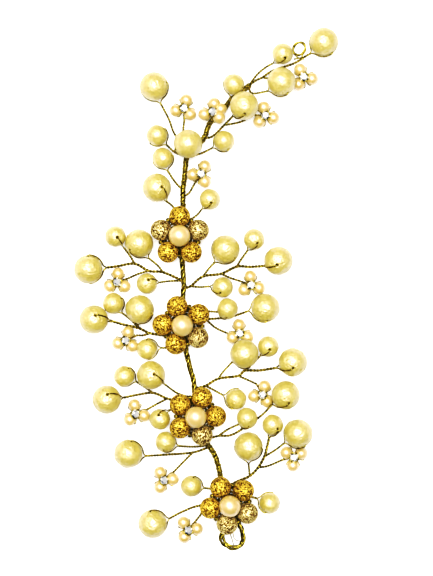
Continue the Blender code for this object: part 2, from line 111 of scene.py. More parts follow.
# The twigs by body, as in the CAD model.
# A pearl is the direction from it to its twig, how far that dips, and how far its bore turns from crosswise
# and tilts up, in degrees. A cluster is its middle, the direction to its twig, and those of its seed pearls.
# A twig is the piece at its end and its route, which starts on the stem or at a point of another route.
SPRAYS = {
    "tip_spray": {
        "large": {
            "01": (220, 10, 0, 15),
            "02": (215, 25, 0, 20),
        },
        "medium": {
            "01": (225, 15, -30, 50),
        },
        "clusters": {
            "c03": ((34.5, 75, 2.4), 190, (115, 350, 235)),
        },
        "twigs": [
            ("large_01", [(15.2, 72.2, 1), (17.5, 74, 1), (20, 75.2, 1), (23.5, 77.5, 1),
                          (29.5, 79.5, 1), (32.5, 80.8, 1.3), (34.5, 82, 2.5)]),
            ("medium_01", [(15.2, 72.2, 1), (18, 76, 1.2), (21, 78.5, 2)]),
            ("large_02", [(15, 72, 1), (16.6, 69.6, 1.2)]),
            ("c03", [(20, 75.2, 1), (24, 74.6, 0.5), (28.5, 74.4, 0.5)]),
        ],
    },
    "crown_spray": {
        "large": {
            "03": (220, 30, 0, 60),
            "04": (290, 10, 0, 20),
            "05": (265, 60, 40, 10),
        },
        "medium": {
            "02": (255, 20, 0, 20),
            "03": (315, 10, 0, 20),
            "04": (210, 10, 0, 20),
        },
        "clusters": {
            "c01": ((-7.5, 64, 3.2), 270, (75, 195, 315)),
            "c02": ((2.5, 62.5, 5), 305, (80, 195, 320, 20)),
            "c04": ((21, 61.5, 2.4), 175, (100, 345, 225)),
        },
        "twigs": [
            ("large_03", [(-0.9, 53.6, 1), (2.5, 54.5, 1), (6.5, 58.3, 1.2)]),
            ("large_04", [(-4.8, 49, 1), (-10.5, 54.5, 1.5), (-13, 60.5, 2.5)]),
            ("large_05", [(-5.6, 48, 1)]),
            ("medium_02", [(7.6, 65.5, 1)]),
            ("medium_03", [(-6.3, 47.2, 1), (-10.5, 48.5, 2)]),
            ("medium_04", [(-6, 47.6, 1), (-2, 48.2, 1.5)]),
            ("c01", [(-3.7, 50.3, 1), (-7.6, 55.5, 1.6)]),
            ("c02", [(3.5, 61.5, 1)]),
            ("c04", [(6.5, 58.3, 1.2), (12.5, 59.6, 0.6)]),
        ],
    },
    "flower_1_spray": {
        "large": {
            "06": (305, 15, -45, 60),
            "07": (300, 10, 0, -35),
            "08": (5, 10, 0, 20),
            "09": (230, 10, 0, 20),
            "10": (200, 15, 0, 75),
        },
        "medium": {
            "05": (290, 10, 0, 20),
            "06": (230, 15, -20, 65),
            "07": (305, 15, -65, 70),
            "08": (5, 15, -40, 60),
            "09": (240, 15, -25, 55),
            "10": (175, 15, 40, 50),
        },
        "clusters": {
            "c05": ((-1.5, 41, 3), 235, (65, 185, 295)),
            "c06": ((-31, 3, 2.4), 20, (85, 205, 330)),
            "c07": ((16, 2, 2.4), 160, (95, 215, 340)),
        },
        "twigs": [
            ("large_06", [(-8.3, 24, 1), (-11, 29, 1.5)]),
            ("large_08", [(-8, 3.5, 1), (-15, 6.5, 1.1), (-20, 7, 1.2), (-25, 9.5, 1.4),
                          (-31, 8.6, 2.5)]),
            ("large_07", [(-15, 6.5, 1.1), (-17, 9, 2)]),
            ("large_10", [(-7.7, 1, 1), (-5.3, 1.6, 1), (-1, 5, 1.1), (5.5, 6, 1.2), (11, 8.5, 1.4),
                          (15.5, 8.4, 2.5)]),
            ("large_09", [(-1, 5, 1.1), (1, 7.6, 2)]),
            ("medium_05", [(-7.9, 35.5, 1), (-10.5, 38, 1.6)]),
            ("medium_06", [(-8.2, 23.5, 1), (-3.5, 26.3, 1.3)]),
            ("medium_07", [(-25, 9.5, 1.4), (-27, 12.8, 2)]),
            ("medium_08", [(-8, 3.5, 1), (-12.5, 3.4, 1.4)]),
            ("medium_09", [(11, 8.5, 1.4), (12.5, 11, 2)]),
            ("medium_10", [(-5.3, 1.6, 1), (-2, 1.3, 1.5)]),
            ("c05", [(-8, 33, 1), (-5.8, 34.5, 1.4)]),
            ("c06", [(-20, 7, 1.2), (-23.5, 6, 1.7)]),
            ("c07", [(5.5, 6, 1.2), (8.5, 4.6, 1.6)]),
        ],
    },
    "flower_2_spray": {
        "large": {
            "11": (190, 10, 0, 20),
            "12": (260, 20, 0, 20),
            "13": (355, 10, 0, 70),
        },
        "medium": {
            "11": (200, 40, 0, 45),
            "12": (310, 20, 0, 20),
            "13": (5, 10, 0, 20),
        },
        "clusters": {
            "c08": ((-28, -17.5, 2.4), 25, (75, 200, 320)),
            "c09": ((12, -15, 2.4), 180, (95, 210, 335)),
        },
        "twigs": [
            ("large_11", [(-7.9, -9.5, 1), (0, -10, 1.2), (8.5, -9.2, 1.8)]),
            ("large_13", [(-7.9, -14.5, 1), (-13, -15.7, 1.1), (-19.5, -15, 1.2), (-23.5, -13.2, 1.4),
                          (-28.5, -12, 2.5)]),
            ("large_12", [(-23.5, -13.2, 1.4)]),
            ("medium_11", [(-8, -6.8, 1), (-2, -7, 1.3)]),
            ("medium_12", [(-23.5, -13.2, 1.4), (-26.2, -10.4, 1.2)]),
            ("medium_13", [(-7.5, -16.8, 1), (-12.5, -19.8, 1.4)]),
            ("c08", [(-19.5, -15, 1.2), (-22, -15.7, 1.6)]),
            ("c09", [(0, -10, 1.2), (3.5, -13, 1.5)]),
        ],
    },
    "flower_3_spray": {
        "large": {
            "14": (215, 30, 0, 20),
            "15": (200, 10, -50, 55),
            "16": (325, 10, -60, 60),
            "17": (5, 10, 0, 65),
            "18": (215, 10, 10, 55),
            "21": (350, 10, 0, 20),
        },
        "medium": {
            "14": (230, 10, -25, 70),
            "15": (335, 10, 0, 20),
            "16": (45, 20, 0, 65),
            "17": (165, 10, 0, 20),
            "18": (220, 35, 0, 50),
            "20": (340, 10, 0, -35),
        },
        "clusters": {
            "c10": ((-24.5, -43.2, 2.4), 20, (100, 225, 345)),
            "c11": ((20, -36.5, 2.3), 120, (75, 190, 305)),
            "c12": ((-14.5, -66.5, 2.4), 40, (120, 5, 240)),
        },
        "twigs": [
            ("large_15", [(-4, -34.5, 1), (0, -33.5, 1), (4.5, -31, 1.1), (11.5, -30, 1.2),
                          (13.8, -28.2, 1.3), (19, -28, 2.5)]),
            ("large_14", [(4.5, -31, 1.1), (6.2, -28.5, 1.7)]),
            ("large_16", [(-3.6, -37.8, 1), (-9.5, -36.3, 1.4)]),
            ("large_17", [(-3.6, -39.5, 1), (-9, -39, 1), (-13.5, -38, 1.2), (-18.5, -36, 1.5),
                          (-24, -36.6, 2.8)]),
            ("large_18", [(-0.1, -52.5, 1), (4.5, -51.2, 1), (8.5, -51, 1.1), (12.5, -49, 1.2),
                          (19.5, -44, 2)]),
            ("large_21", [(1.4, -55.1, 1), (-4.5, -57, 1.1), (-14, -57.7, 2.2)]),
            ("medium_14", [(13.8, -28.2, 1.3), (17, -25.2, 1.7)]),
            ("medium_15", [(-18.5, -36, 1.5), (-22, -33.5, 2.2)]),
            ("medium_16", [(-3.5, -41.2, 1), (-9, -41.3, 1.2)]),
            ("medium_17", [(0, -33.5, 1), (3, -35, 1.3)]),
            ("medium_18", [(4.5, -51.2, 1), (8, -48.7, 1.8)]),
            ("medium_20", [(1, -54.5, 1), (-4, -55, 1.2)]),
            ("c10", [(-13.5, -38, 1.2), (-17, -39.8, 1.6)]),
            ("c11", [(11.5, -30, 1.2), (14.8, -31.4, 1.5)]),
            ("c12", [(-4.5, -57, 1.1), (-8, -60.5, 1.5)]),
        ],
    },
    "flower_4_spray": {
        "large": {
            "19": (270, 10, 0, 20),
            "20": (215, 10, 0, 20),
            "22": (15, 10, 0, 20),
        },
        "medium": {
            "19": (255, 15, 0, 55),
            "21": (350, 10, 0, 20),
            "22": (160, 10, 0, 20),
        },
        "clusters": {
            "c13": ((31, -58.5, 2.4), 195, (150, 25, 265)),
            "c14": ((-6, -84, 2.4), 50, (125, 5, 240)),
        },
        "twigs": [
            ("medium_19", [(6.2, -70, 1), (11, -67.3, 1), (15.5, -65.3, 1.1), (18.5, -62.3, 1.2),
                           (20.7, -58.5, 1.3), (21.6, -55, 2.2)]),
            ("large_19", [(15.5, -65.3, 1.1), (15.3, -63, 2)]),
            ("large_20", [(20.7, -58.5, 1.3), (24.5, -56, 2.4)]),
            ("large_22", [(8.4, -75, 1), (-2, -75.7, 1.1), (-8, -77.7, 2)]),
            ("medium_21", [(6.3, -70.2, 1), (3, -69.9, 1.3)]),
            ("medium_22", [(7.6, -73, 1), (14, -72.3, 1.3)]),
            ("c13", [(18.5, -62.3, 1.2), (22, -61.7, 1.5)]),
            ("c14", [(-2, -75.7, 1.1), (-1.4, -78.2, 1.4)]),
        ],
    },
}

# The stem from the pin loop to the fork, and the points where it bends.
STEM = [
    (9.5, -81.4), (8.5, -75.0), (6.0, -69.5), (5.0, -64.0), (4.05, -60.25), (3.0, -57.5), (1.0, -54.5),
    (-1.0, -51.0), (-3.4, -44.5), (-3.6, -38.0), (-4.0, -34.0), (-4.5, -30.5), (-5.45, -27.45),
    (-6.5, -23.0), (-7.0, -20.0), (-8.0, -12.0), (-8.0, -6.5), (-8.0, -0.95), (-7.6, 1.5), (-8.0, 6.5),
    (-8.3, 11.0), (-9.0, 19.0), (-8.0, 26.5), (-8.0, 35.0), (-7.5, 39.5), (-6.95, 45.1), (-6.5, 47.0),
    (-3.5, 50.5), (-0.5, 54.0), (1.2, 58.5), (3.5, 61.5), (6.5, 64.0), (8.7, 67.0), (12.2, 69.65),
    (15.5, 72.5),
]
BENDS = [(4.05, -60.25), (-5.45, -27.45), (-8.0, -0.95), (-6.95, 45.1), (12.2, 69.65)]
STEM_BODIES = ["flower_4_spray", "flower_3_spray", "flower_2_spray", "flower_1_spray", "crown_spray",
               "tip_spray"]
# For each flower, the direction of its first bead, and which of its beads are pale.
FIRST_PETAL = {"1": 90, "2": 106, "3": 72, "4": 46}
PALE_BEADS = {"1": (1, 4), "2": (3,), "3": (3,), "4": (3, 4)}
# Stretches of the stem, as shares of its length, that are bound with fine wire.
BINDINGS = [(0.085, 0.115), (0.14, 0.165), (0.27, 0.30), (0.395, 0.42), (0.60, 0.625), (0.83, 0.85)]


def direction(turn, rise=0.0):
    """The unit vector that points turn degrees round from +X and rise degrees up."""
    a, b = math.radians(turn), math.radians(rise)
    return np.array((math.cos(b) * math.cos(a), math.cos(b) * math.sin(a), math.sin(b)))


def unit(vector):
    return vector / np.linalg.norm(vector)


def place_of(node):
    """The middle of a CAD node and its radius, in the layout's millimetres."""
    low, high = (np.array(corner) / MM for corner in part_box(node))
    return (low + high) / 2 + ORIGIN, float(max(high - low)) / 2


# ---------------------------------------------------------------- materials


class Finish:
    """A node material, built round one Principled shader."""

    def __init__(self, name):
        self.material = bpy.data.materials.new(name)
        self.material.use_nodes = True
        self.tree = self.material.node_tree
        self.shader = self.tree.nodes["Principled BSDF"]
        coordinates = self.tree.nodes.new("ShaderNodeTexCoord")
        self.place = coordinates.outputs["Object"]

    def set(self, **values):
        for name, value in values.items():
            self.shader.inputs[name.replace("_", " ")].default_value = value

    def node(self, kind, **values):
        made = self.tree.nodes.new(kind)
        for name, value in values.items():
            made.inputs[name.replace("_", " ")].default_value = value
        return made

    def link(self, source, target):
        self.tree.links.new(source, target)

    def noise(self, scale, detail=3.0, roughness=0.5, distortion=0.0):
        made = self.node("ShaderNodeTexNoise", Scale=scale, Detail=detail, Roughness=roughness,
                         Distortion=distortion)
        self.link(self.place, made.inputs["Vector"])
        return made.outputs["Fac"]

    def ramp(self, source, *stops):
        made = self.tree.nodes.new("ShaderNodeValToRGB")
        elements = made.color_ramp.elements
        while len(elements) < len(stops):
            elements.new(0.5)
        for element, (position, colour) in zip(elements, stops):
            element.position = position
            element.color = (*colour, 1.0)
        self.link(source, made.inputs["Fac"])
        return made.outputs["Color"]

    def colour(self, source):
        self.link(source, self.shader.inputs["Base Color"])

    def rough(self, source, low, high):
        made = self.node("ShaderNodeMapRange", To_Min=low, To_Max=high)
        self.link(source, made.inputs["Value"])
        self.link(made.outputs["Result"], self.shader.inputs["Roughness"])

    def bump(self, source, distance, strength=1.0):
        made = self.node("ShaderNodeBump", Distance=distance, Strength=strength)
        self.link(source, made.inputs["Height"])
        self.link(made.outputs["Normal"], self.shader.inputs["Normal"])


def wrinkled_pearl():
    finish = Finish("wrinkled_pearl")
    finish.set(IOR=2.2, Coat_Weight=1.0, Coat_Roughness=0.42, Coat_IOR=2.4)
    patches = finish.noise(420.0, 4.0, 0.6)
    finish.colour(finish.ramp(patches, (0.3, (0.53, 0.40, 0.05)), (0.7, (0.61, 0.50, 0.10))))
    finish.rough(finish.noise(900.0), 0.46, 0.62)
    finish.bump(finish.noise(1050.0, 4.0, 0.62, 0.5), 0.00055, 1.0)
    return finish.material


def ivory_pearl():
    finish = Finish("ivory_pearl")
    finish.set(IOR=2.1, Coat_Weight=1.0, Coat_Roughness=0.40, Coat_IOR=2.4)
    clouds = finish.noise(300.0, 2.0)
    finish.colour(finish.ramp(clouds, (0.3, (0.56, 0.385, 0.10)), (0.7, (0.64, 0.47, 0.17))))
    finish.rough(finish.noise(700.0), 0.36, 0.50)
    finish.bump(finish.noise(1200.0), 0.00002, 0.3)
    return finish.material


def stardust_gold(name, middle, bright):
    """Grainy plating, its colour set by the mesh's grain value: each grain's tone varies at random, and the
    dark brown between the grains is painted shade.
    """
    finish = Finish(name)
    finish.set(Metallic=0.55)
    grain_rise_and_painted_shade = finish.tree.nodes.new("ShaderNodeAttribute")
    grain_rise_and_painted_shade.attribute_name = "grain_rise_and_painted_shade"
    tone = finish.node("ShaderNodeMath")
    tone.operation = "MULTIPLY_ADD"
    finish.link(finish.noise(900.0, 2.0), tone.inputs[0])
    tone.inputs[1].default_value = 0.35
    finish.link(grain_rise_and_painted_shade.outputs["Fac"], tone.inputs[2])
    # The dark first stop is painted shade in the gaps between grains; the other two stops are the plating's
    # own random tones.
    finish.colour(finish.ramp(tone.outputs["Value"], (0.34, (0.07, 0.035, 0.005)),
                              (0.56, middle), (0.90, bright)))
    finish.rough(finish.noise(2500.0), 0.32, 0.52)
    finish.bump(finish.noise(3600.0, 3.0, 0.6), 0.00012, 0.8)
    return finish.material


def gold_wire():
    finish = Finish("gold_wire")
    finish.set(Metallic=1.0)
    finish.colour(finish.ramp(finish.noise(1100.0, 4.0), (0.35, (0.095, 0.085, 0.016)),
                              (0.68, (0.52, 0.42, 0.09))))
    finish.rough(finish.noise(1800.0), 0.22, 0.40)
    finish.bump(finish.noise(5200.0, 2.0), 0.00003, 0.4)
    return finish.material


def crystal():
    finish = Finish("crystal")
    finish.set(Metallic=0.6, Coat_Weight=1.0, Coat_Roughness=0.02)
    # Each facet's colour, from near black to white, is painted reflection standing in for the stone's
    # sparkle.
    painted_facet_glint = finish.tree.nodes.new("ShaderNodeAttribute")
    painted_facet_glint.attribute_name = "painted_facet_glint"
    finish.colour(finish.ramp(painted_facet_glint.outputs["Fac"], (0.1, (0.10, 0.11, 0.13)), (0.35, (0.55, 0.58, 0.66)),
                              (0.6, (1.0, 1.0, 1.0))))
    finish.rough(finish.noise(1500.0), 0.02, 0.07)
    return finish.material


def pale_floor():
    finish = Finish("pale_floor")
    finish.set(Roughness=0.9, Emission_Color=(1.0, 1.0, 1.0, 1.0), Emission_Strength=0.35)
    finish.colour(finish.ramp(finish.noise(3.0), (0.3, (0.78, 0.78, 0.78)), (0.7, (0.81, 0.81, 0.81))))
    return finish.material


# ---------------------------------------------------------------- wire shapes


def smooth_route(points, step):
    """Points every step millimetres along a Catmull-Rom curve through the given ones."""
    points = [np.array(p, float) for p in points]
    if len(points) == 2:
        points.insert(1, (points[0] + points[1]) / 2)
    ends = [points[0] * 2 - points[1]] + points + [points[-1] * 2 - points[-2]]
    dense = []
    for a, b, c, d in zip(ends, ends[1:], ends[2:], ends[3:]):
        for t in np.arange(0.0, 1.0, 0.05):
            dense.append((b * 2 + (c - a) * t + (a * 2 - b * 5 + c * 4 - d) * t**2
                          + (b * 3 - a - c * 3 + d) * t**3) / 2)
    dense = np.array(dense + [points[-1]])
    run = lengths_along(dense)
    stations = np.linspace(0.0, run[-1], max(3, int(run[-1] / step) + 1))
    return np.stack([np.interp(stations, run, dense[:, axis]) for axis in range(3)], 1)


def lengths_along(path):
    return np.concatenate([[0.0], np.cumsum(np.linalg.norm(np.diff(path, axis=0), axis=1))])


def cross_frames(path, closed=False):
    """For each point of a path, two unit vectors across it that turn as little as possible."""
    if closed:
        along = np.roll(path, -1, 0) - np.roll(path, 1, 0)
    else:
        along = np.gradient(path, axis=0)
    along /= np.linalg.norm(along, axis=1)[:, None]
    across = np.cross(along[0], (0.0, 0.0, 1.0))
    if np.linalg.norm(across) < 0.1:
        across = np.cross(along[0], (0.0, 1.0, 0.0))
    found = []
    for tangent in along:
        across = unit(across - tangent * across.dot(tangent))
        found.append(across)
    sides = np.array(found)
    return sides, np.cross(along, sides)


def helix(path, offset, pitch, phase):
    """The line of one strand that winds round a path. offset and pitch may vary from point to point."""
    sides, ups = cross_frames(path)
    turns = np.cumsum(np.diff(lengths_along(path), prepend=0.0) / pitch)
    angle = (turns * 2 * math.pi + phase)[:, None]
    reach = np.broadcast_to(offset, len(path))[:, None]
    return path + (sides * np.cos(angle) + ups * np.sin(angle)) * reach


class Shape:
    """Tubes and other closed skins, gathered to become one object."""

    def __init__(self):
        self.points, self.faces, self.count = [], [], 0

    def add(self, points, faces):
        self.points.append(np.asarray(points, float))
        self.faces += [[corner + self.count for corner in face] for face in faces]
        self.count += len(points)

    def tube(self, path, radius, sides=7, closed=False):
        """A tube along path, with domed ends unless it is closed. radius may vary from point to point."""
        across, up = cross_frames(path, closed)
        reach = np.broadcast_to(radius, len(path))[:, None, None]
        turns = np.arange(sides) * 2 * math.pi / sides
        ring = (across[:, None] * np.cos(turns)[None, :, None] + up[:, None] * np.sin(turns)[None, :, None])
        points = (path[:, None] + ring * reach).reshape(-1, 3)
        last = len(path)
        faces = []
        for n in range(last if closed else last - 1):
            a, b = n * sides, (n + 1) % last * sides
            for k in range(sides):
                m = (k + 1) % sides
                faces.append([a + k, a + m, b + m, b + k])
        if not closed:
            size = np.broadcast_to(radius, last)
            for end, inner, rim in ((0, 1, 0), (last - 1, last - 2, (last - 1) * sides)):
                outward = unit(path[end] - path[inner]) * size[end] * 0.6
                points = np.vstack([points, path[end] + outward])
                tip = len(points) - 1
                for k in range(sides):
                    m = (k + 1) % sides
                    faces.append([tip, rim + m, rim + k] if end == 0 else [tip, rim + k, rim + m])
        self.add(points, faces)

    def object(self, name, material, smooth=True):
        mesh = bpy.data.meshes.new(name)
        points = (np.concatenate(self.points) - ORIGIN) * MM
        mesh.from_pydata(points.tolist(), [], self.faces)
        if smooth:
            mesh.shade_smooth()
        mesh.materials.append(material)
        obj = bpy.data.objects.new(name, mesh)
        bpy.context.scene.collection.objects.link(obj)
        shape = bmesh.new()
        shape.from_mesh(mesh)
        bmesh.ops.recalc_face_normals(shape, faces=shape.faces)
        shape.to_mesh(mesh)
        shape.free()
        return obj


# ---------------------------------------------------------------- pearls, beads and crystals


def pearl_grid(radius, bore, rings, segments):
    """A pearl of the given radius in millimetres with a bore along Z: its points, faces and outer rings.

    The skin runs from mouth to mouth with rounded lips, and closes through the bore.
    """
    first = math.asin((bore + BORE_LIP) / radius)
    profile = [(math.sin(a) * radius, math.cos(a) * radius)
               for a in np.linspace(first, math.pi - first, rings)]
    depth = profile[0][1]
    profile = [(bore, depth - BORE_LIP)] + profile + [(bore, BORE_LIP - depth)]
    turns = np.arange(segments) * 2 * math.pi / segments
    points = np.array([(x * math.cos(t), x * math.sin(t), z) for x, z in profile for t in turns])
    faces = []
    for n in range(len(profile)):
        a, b = n * segments, (n + 1) % len(profile) * segments
        for k in range(segments):
            m = (k + 1) % segments
            faces.append([a + k, b + k, b + m, a + m])
    outer = np.repeat([0.0] + [1.0] * rings + [0.0], segments)
    return points, faces, outer


def crinkle(spot, seed):
    """The wrinkled skin's height at a spot on a pearl, about -1 to 1: soft dents crossed by fine creases."""
    at = Vector(spot) + Vector((seed * 7.3, seed * 3.1, -seed * 5.7))
    dents = noise.noise(at * 0.55)
    crease = 1.0 - 2.0 * abs(noise.noise(at * 1.15 + Vector((0.0, 0.0, 9.0))))
    fine = 1.0 - 2.0 * abs(noise.noise(at * 2.0))
    return 0.35 * dents + 0.30 * crease + 0.35 * fine


def pearl_mesh(name, radius, material, rings, segments, bore, seed=None, depth=0.0):
    """A drilled pearl of the given radius, wrinkled to this depth if it has a seed, and smooth if not."""
    points, faces, outer = pearl_grid(radius, bore, rings, segments)
    if seed is not None:
        heights = np.array([crinkle(p, seed) for p in points]) * depth - depth * 0.6
        points = points * (1 + (outer * heights / radius)[:, None])
    mesh = bpy.data.meshes.new(name)
    mesh.from_pydata((points * MM).tolist(), [], faces)
    mesh.shade_smooth()
    mesh.materials.append(material)
    return mesh


def put(name, mesh, place, towards, spin=0.0):
    """A copy of this mesh at a place in layout millimetres, its Z axis turned towards a direction.

    The copy's points are moved, so that every object keeps the frame's own origin.
    """
    turn = Vector(towards).to_track_quat("Z", "Y") @ Quaternion((0.0, 0.0, 1.0), spin)
    own = mesh.copy()
    own.transform(Matrix.LocRotScale(Vector((place - ORIGIN) * MM), turn, None))
    obj = bpy.data.objects.new(name, own)
    bpy.context.scene.collection.objects.link(obj)
    return obj


def grain_centres(count):
    """Points spread evenly over the unit sphere, each moved a little, so that no rows show."""
    golden = math.pi * (3 - math.sqrt(5))
    found = []
    for n in range(count):
        z = 1 - (2 * n + 1) / count
        across = math.sqrt(1 - z * z)
        spot = np.array((math.cos(golden * n) * across, math.sin(golden * n) * across, z))
        wobble = np.array([random.uniform(-1, 1) for _ in range(3)]) * 0.035
        found.append(unit(spot + wobble))
    return np.array(found)


def bead_mesh(name, material):
    """A bead crusted with grains, which the mesh records for its material."""
    shape = bmesh.new()
    bmesh.ops.create_icosphere(shape, subdivisions=5, radius=1.0)
    mesh = bpy.data.meshes.new(name)
    shape.to_mesh(mesh)
    shape.free()
    points = np.array([v.co for v in mesh.vertices])
    centres = grain_centres(GRAINS)
    sizes = np.array([random.uniform(0.8, 1.15) for _ in centres])
    tones = np.array([random.choice((0.45, 0.7, 0.85, 1.0, 1.0)) for _ in centres])
    gap = np.arccos(np.clip(points @ centres.T, -1, 1)) * BEAD_RADIUS / (GRAIN_RADIUS * sizes)
    grain_rise_and_painted_shade = np.sqrt(np.clip(1 - gap.min(axis=1) ** 2, 0, 1))
    # Each grain's rise times its random tone, falling to nothing between grains: the mask for the painted
    # shade in the gaps.
    tone = grain_rise_and_painted_shade * tones[gap.argmin(axis=1)]
    body = BEAD_RADIUS - GRAIN_HEIGHT
    points = points * (body + grain_rise_and_painted_shade * GRAIN_HEIGHT)[:, None] * MM
    mesh.vertices.foreach_set("co", points.astype(np.float32).ravel())
    value = mesh.attributes.new("grain_rise_and_painted_shade", "FLOAT", "POINT")
    value.data.foreach_set("value", tone.astype(np.float32))
    mesh.shade_smooth()
    mesh.materials.append(material)
    return mesh


def crystal_mesh(material):
    """A round brilliant: a flat table, eight star facets, a crown of sixteen, and a shallow pavilion."""
    rings = [(0.52, 0.42, 8, 0.5), (0.80, 0.25, 8, 0.0), (1.0, 0.0, 16, 0.0), (0.55, -0.45, 8, 0.5)]
    shape = bmesh.new()
    for reach, height, count, shift in rings:
        for n in range(count):
            angle = (n + shift) * 2 * math.pi / count
            spot = Vector((math.cos(angle) * reach, math.sin(angle) * reach, height))
            shape.verts.new(spot * CRYSTAL_RADIUS * MM)
    bmesh.ops.convex_hull(shape, input=shape.verts)
    bmesh.ops.dissolve_limit(shape, angle_limit=0.02, verts=shape.verts, edges=shape.edges)
    mesh = bpy.data.meshes.new("crystal")
    shape.to_mesh(mesh)
    shape.free()
    # A brightness for each facet, at random, and high on the table: painted reflections in the stone.
    value = mesh.attributes.new("painted_facet_glint", "FLOAT", "FACE")
    table = max(mesh.polygons, key=lambda face: face.center.z)
    value.data.foreach_set("value", [0.8 if face == table else random.random() for face in mesh.polygons])
    mesh.materials.append(material)
    return mesh


def cup_mesh(material):
    """The metal cup of a crystal: a turned wall with a base, and four claws over the rim."""
    shape = Shape()
    profile = [(0.0, -0.75), (0.75, -0.75), (1.05, -0.45), (1.22, 0.02), (1.10, 0.02), (0.9, -0.40),
               (0.0, -0.55)]
    segments = 20
    turns = np.arange(segments) * 2 * math.pi / segments
    points = [np.array((x * math.cos(t), x * math.sin(t), z)) * CRYSTAL_RADIUS
              for x, z in profile[1:-1] for t in turns]
    points += [np.array((0.0, 0.0, z)) * CRYSTAL_RADIUS for z in (profile[0][1], profile[-1][1])]
    rows = len(profile) - 2
    faces = []
    for n in range(rows - 1):
        for k in range(segments):
            m = (k + 1) % segments
            faces.append([n * segments + k, n * segments + m, (n + 1) * segments + m, (n + 1) * segments + k])
    for k in range(segments):
        m = (k + 1) % segments
        faces.append([rows * segments, m, k])
        faces.append([rows * segments + 1, (rows - 1) * segments + k, (rows - 1) * segments + m])
    shape.add(np.array(points) + ORIGIN, faces)
    for k in range(4):
        out = direction(45 + 90 * k)
        claw = [out * 1.25 + (0, 0, -0.35), out * 1.27 + (0, 0, 0.0), out * 1.12 + (0, 0, 0.2),
                out * 0.86 + (0, 0, 0.27)]
        shape.tube(smooth_route([p * CRYSTAL_RADIUS + ORIGIN for p in claw], 0.25), 0.16, 6)
    obj = shape.object("cup", material)
    mesh = obj.data
    bpy.data.objects.remove(obj)
    return mesh


# ---------------------------------------------------------------- the vine


class Pearl:
    """Where a pearl sits, which way its bore runs, and the two strands that hold it."""

    def __init__(self, node, turn, dip, bore_turn, bore_tilt):
        self.place, self.radius = place_of(node)
        self.to_twig = direction(turn, -dip)
        across = direction(turn + 90 + bore_turn, bore_tilt)
        self.bore = unit(across - self.to_twig * across.dot(self.to_twig))
        self.base = self.place + self.to_twig * (self.radius + LOOP_CLEARANCE)

    def strand(self, side):
        """From the base round one side of the pearl, over the lip of its bore and into it."""
        bore = self.bore * side
        points = []
        for angle in (81, 70, 58, 46, 34, 22, 12, 5):  # degrees from the bore, towards the twig
            reach = self.radius + HUG + 0.2 * max(0, angle - 70) / 11
            a = math.radians(angle)
            points.append(self.place + (self.to_twig * math.sin(a) + bore * math.cos(a)) * reach)
        points.append(self.place + bore * (self.radius - 0.25))
        points.append(self.place + bore * (self.radius - 1.4))
        points.append(self.place + bore * 0.3)
        return points


class Cluster:
    """Seed pearls round a crystal, at the end of a twig."""

    def __init__(self, place, turn, seeds):
        self.place = np.array(place, float)
        self.base = self.place + direction(turn) * CLUSTER_REACH - (0.0, 0.0, 0.4)
        self.seeds = [self.place + direction(a) * CLUSTER_RADIUS for a in seeds]
        self.crystal = self.place + (0.0, 0.0, CRYSTAL_LIFT)


def twig_strands(shape, route, end, strand_ends, thickness=1.0):
    """Twists two strands along a route to its end, and leads each on to its own end."""
    path = smooth_route(list(route) + [end], 0.22)
    radius = STRAND * thickness
    for side in (0, 1):
        line = helix(path, radius, TWIG_PITCH * thickness, math.pi * side)
        if strand_ends:
            line = smooth_route(np.vstack([line[:-2:2], strand_ends[side]]), 0.25)
        shape.tube(line, radius)


def flower_pieces(body, number, finishes, beads):
    """A flower's five grainy beads, the ring of wire through them, and the wire that binds it to the stem."""
    low, high = (np.array(corner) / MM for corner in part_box(f"petal_ring_{number}"))
    centre, _ = place_of(f"centre_pearl_{number}")
    middle = np.array((centre[0], centre[1], (low[2] + high[2]) / 2))
    ring = Shape()
    for reach, height, phase in FLOWER_RINGS:
        path = np.array([middle + direction(a) * reach + (0, 0, height) for a in range(0, 360, 4)])
        sides, ups = cross_frames(path, closed=True)
        for k in range(2):
            angle = (np.arange(len(path)) / len(path) * 24 * math.pi + phase + math.pi * k)[:, None]
            ring.tube(path + (sides * np.cos(angle) + ups * np.sin(angle)) * 0.24, 0.25, 6, closed=True)
    for n in range(PETALS):
        azimuth = FIRST_PETAL[number] + (n + 0.5) * 360 / PETALS
        out, along = direction(azimuth), direction(azimuth + 90)
        spiral = [middle + out * (PETAL_REACH + math.cos(a) * 0.72) + (0, 0, math.sin(a) * 0.72)
                  + along * (a / 14 - 0.5) * 0.8 for a in np.arange(0.0, 14.0, 0.45)]
        ring.tube(np.array(spiral), 0.19, 6)
        for side in (-1, 1):
            hook = [middle + out * (PETAL_REACH + 0.4) + along * 0.25 * side,
                    middle + out * PETAL_REACH + (0, 0, 0.75),
                    middle + out * (PETAL_REACH - 1.2) + along * 0.3 * side + (0, 0, -0.2),
                    middle + out * 4.2 + along * 0.7 * side + (0, 0, -1.9),
                    middle + out * 2.2 + along * 0.3 * side + (0, 0, -3.6),
                    middle + out * 0.9 + (0, 0, -5.4)]
            ring.tube(smooth_route(hook, 0.35), 0.22, 6)
    piece = ring.object(f"flower_wire_{number}", finishes["wire"])
    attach(piece, body)
    for n in range(PETALS):
        turn = FIRST_PETAL[number] + n * 360 / PETALS
        place = middle + direction(turn) * PETAL_REACH
        bead = put(f"gold_bead_{number}_{n + 1}", beads[(n + int(number)) % len(beads)], place,
                   direction(turn + 90), spin=1.3 * n)
        if n in PALE_BEADS[number]:
            bead.data.materials[0] = finishes["pale_gold"]
        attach(bead, body)
        if n == 0:
            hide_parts(f"petal_ring_{number}")


